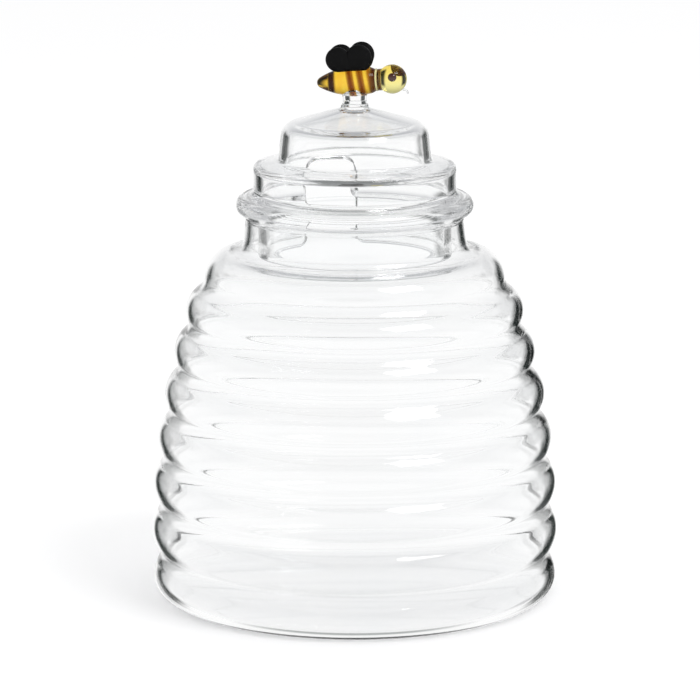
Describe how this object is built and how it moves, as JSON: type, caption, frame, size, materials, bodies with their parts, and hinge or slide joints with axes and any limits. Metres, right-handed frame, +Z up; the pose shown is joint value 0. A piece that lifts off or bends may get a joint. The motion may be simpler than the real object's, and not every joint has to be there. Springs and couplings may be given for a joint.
{
  "type": "honey jar with lift-off lid",
  "caption": "Clear blown-glass honey jar shaped like a ringed straw beehive, with a lift-off stepped glass lid notched for a dipper and a small amber glass bee as its handle.",
  "frame": {"origin": "on the table, under the centre of the jar's foot", "axes": "+Z up along the jar's axis, +X the way the bee looks, -Y the jar's front, with the dipper notch at the back"},
  "size_m": [0.1142, 0.114, 0.1551],
  "materials": {
    "clear_glass": "clear blown borosilicate glass, fire-polished",
    "amber_glass": "transparent amber glass, fire-polished",
    "dark_amber_glass": "dark amber glass trailed on and melted in",
    "pale_amber_glass": "transparent pale amber glass, fire-polished",
    "eye_glass": "dark red-brown glass dot",
    "black_glass": "opaque black glass, satin"
  },
  "bodies": {
    "jar": {"hive_jar": "clear_glass"},
    "lid": {"lid": "clear_glass", "finial_stem": "clear_glass", "bee_body": "amber_glass", "bee_bands": "dark_amber_glass", "bee_collar": "pale_amber_glass", "bee_head": "pale_amber_glass", "bee_eye_right": "eye_glass", "bee_eye_left": "eye_glass", "bee_tongue": "clear_glass", "fore_wing_right": "black_glass", "hind_wing_right": "black_glass", "fore_wing_left": "black_glass", "hind_wing_left": "black_glass"}
  },
  "joints": [
    {"name": "lid_lift", "type": "slide", "parent": "jar", "child": "lid", "axis": [0, 0, 1], "range_m": [0, 0.06]}
  ]
}
